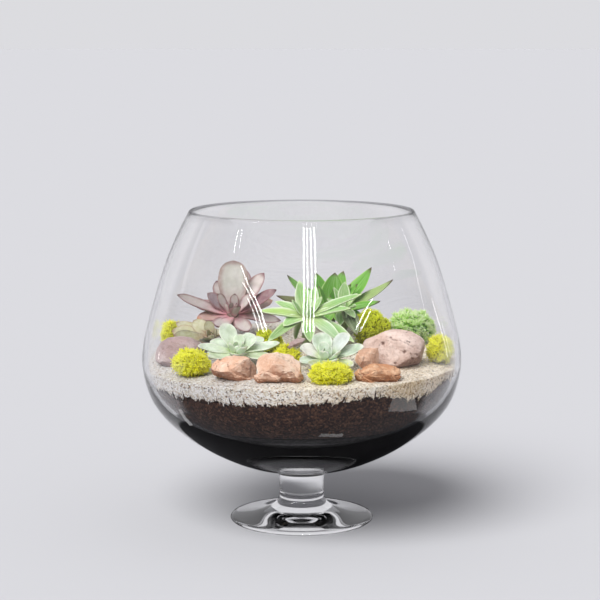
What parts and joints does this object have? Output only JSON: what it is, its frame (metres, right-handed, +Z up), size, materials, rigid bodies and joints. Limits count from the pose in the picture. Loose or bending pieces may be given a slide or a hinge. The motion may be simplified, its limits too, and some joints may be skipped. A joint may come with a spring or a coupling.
{
  "type": "glass plant terrarium",
  "caption": "Footed snifter bowl of clear glass filled with charcoal, soil and sand, planted with succulent rosettes among sandstones and clumps of moss.",
  "frame": {"origin": "centre of the underside of the foot", "axes": "+Z up along the bowl's axis, -Y towards the front of the planting, +X to its right seen from the front"},
  "size_m": [0.3, 0.3, 0.2945],
  "materials": {
    "clear_glass": "clear, colourless, fire-polished blown glass",
    "charcoal": "matt black crushed horticultural charcoal",
    "soil": "matt dark brown potting soil with bits of root",
    "sand": "matt off-white coarse sand with dark and tan grains",
    "orange_sandstone": "matt broken sandstone, orange with red-brown undersides",
    "pink_sandstone": "matt worn sandstone, dusty pink-brown with pits and cracks",
    "yellow_moss": "matt short dense tufts, saturated yellow-green",
    "green_moss": "matt branching lichen-like tufts, light bright green",
    "purple_leaf": "waxy satin, mauve-grey with reddish dark margins",
    "olive_leaf": "waxy satin, khaki with brown base",
    "mint_leaf": "powdery wax bloom, pale blue-green with whitish margins",
    "furry_green_leaf": "matt, finely haired, mid-green with pale edges",
    "bright_green_leaf": "satin, saturated green with dark purple-brown tips"
  },
  "bodies": {
    "root": {"glass_bowl": "clear_glass", "charcoal_layer": "charcoal", "soil_layer": "soil", "sand_layer": "sand", "stone_front_left": "orange_sandstone", "stone_front_middle": "orange_sandstone", "stone_front_right": "orange_sandstone", "stone_wedge": "orange_sandstone", "stone_splinter": "orange_sandstone", "stone_boulder": "pink_sandstone", "stone_far_left": "pink_sandstone", "moss_back_left": "yellow_moss", "moss_front_left": "yellow_moss", "moss_middle": "yellow_moss", "moss_behind_stones": "yellow_moss", "moss_front": "yellow_moss", "moss_behind_boulder": "yellow_moss", "moss_right": "yellow_moss", "moss_green": "green_moss", "rosette_purple": "purple_leaf", "rosette_olive": "olive_leaf", "rosette_mint_left": "mint_leaf", "rosette_mint_right": "mint_leaf", "rosette_green": "furry_green_leaf", "rosette_green_offset": "furry_green_leaf", "rosette_bright": "bright_green_leaf"}
  },
  "joints": []
}
